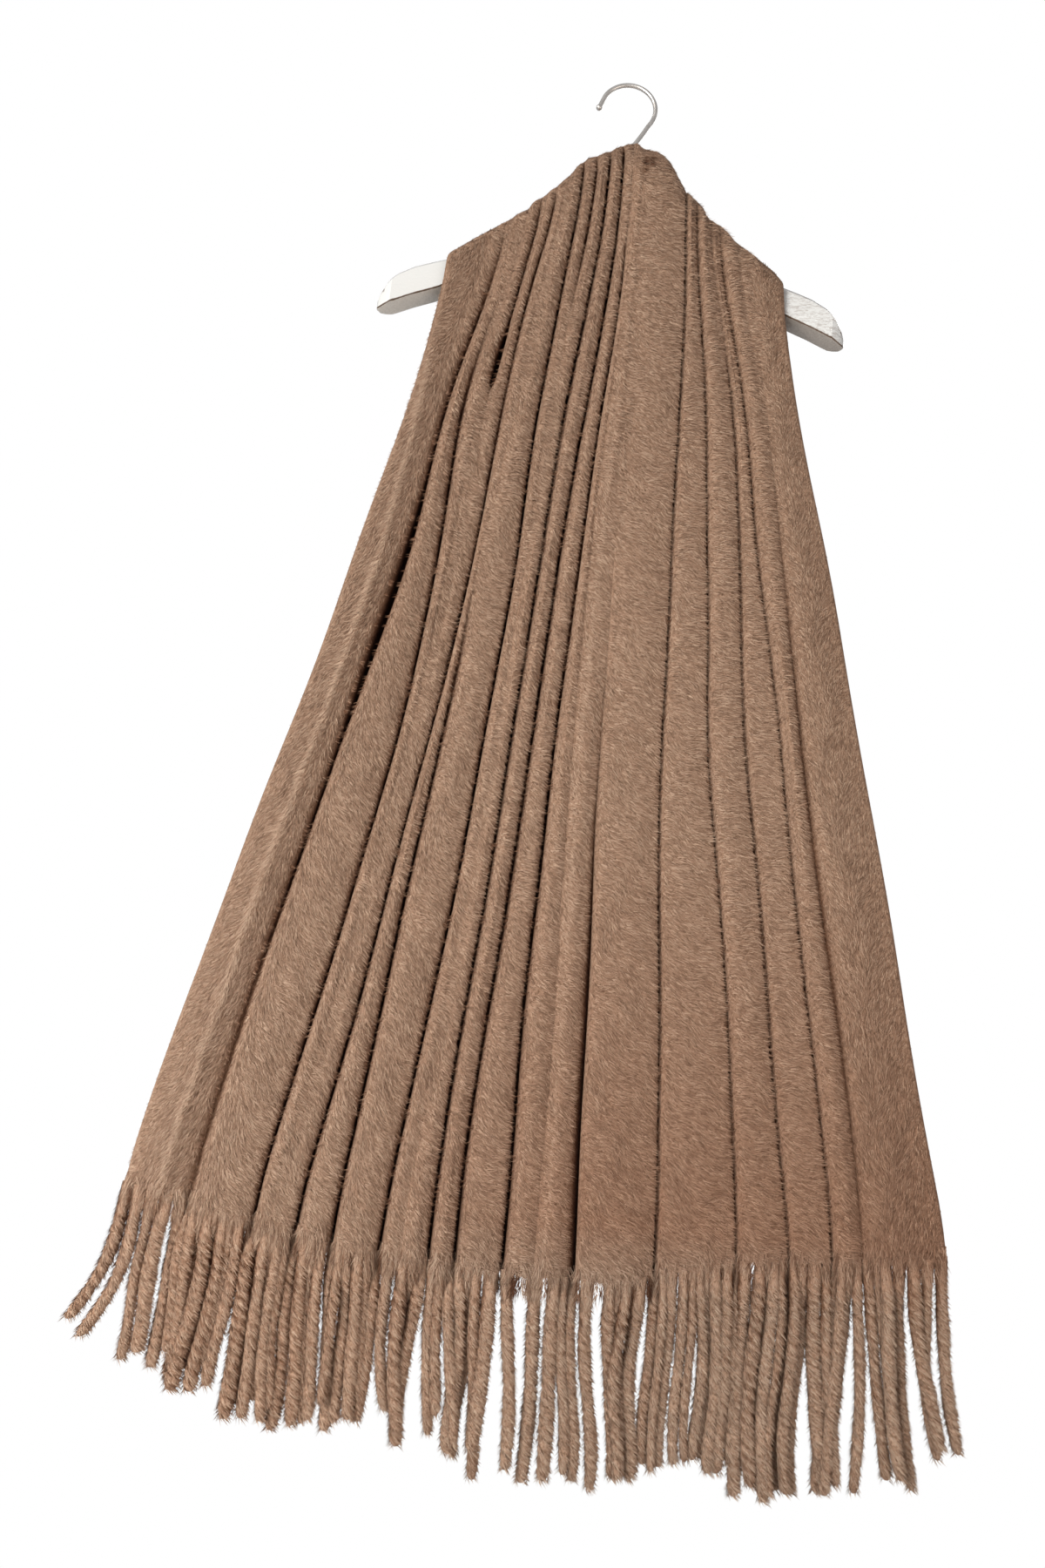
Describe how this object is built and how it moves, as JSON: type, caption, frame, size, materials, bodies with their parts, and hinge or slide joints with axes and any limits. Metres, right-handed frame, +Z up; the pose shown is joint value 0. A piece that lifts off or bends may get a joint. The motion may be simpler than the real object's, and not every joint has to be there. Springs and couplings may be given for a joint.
{
  "type": "tassel scarf hung on a coat hanger",
  "caption": "Wide brushed scarf with twisted tassels at both ends, hung in loose pleats over a painted wooden coat hanger with a wire hook.",
  "frame": {"origin": "the bearing point inside the top of the hook's loop, where a rail carries the hanger", "axes": "+X to the right as seen from the front, along the hanger's arms; +Y away from the viewer, from the scarf's front fall to its back fall; +Z up"},
  "size_m": [0.695, 0.0811, 1.2281],
  "materials": {
    "brushed_cloth": "brushed, long soft nap laid down the length, matt",
    "cloth_fringe": "fluffy yarn twisted in pairs, matt",
    "painted_wood": "glossy off-white paint, a little scuffed",
    "hook_steel": "satin"
  },
  "bodies": {
    "root": {"front_fall": "brushed_cloth", "over_hanger": "brushed_cloth", "back_fall": "brushed_cloth", "front_fringe": "cloth_fringe", "back_fringe": "cloth_fringe", "hanger_wood": "painted_wood", "hanger_hook": "hook_steel"}
  },
  "joints": []
}
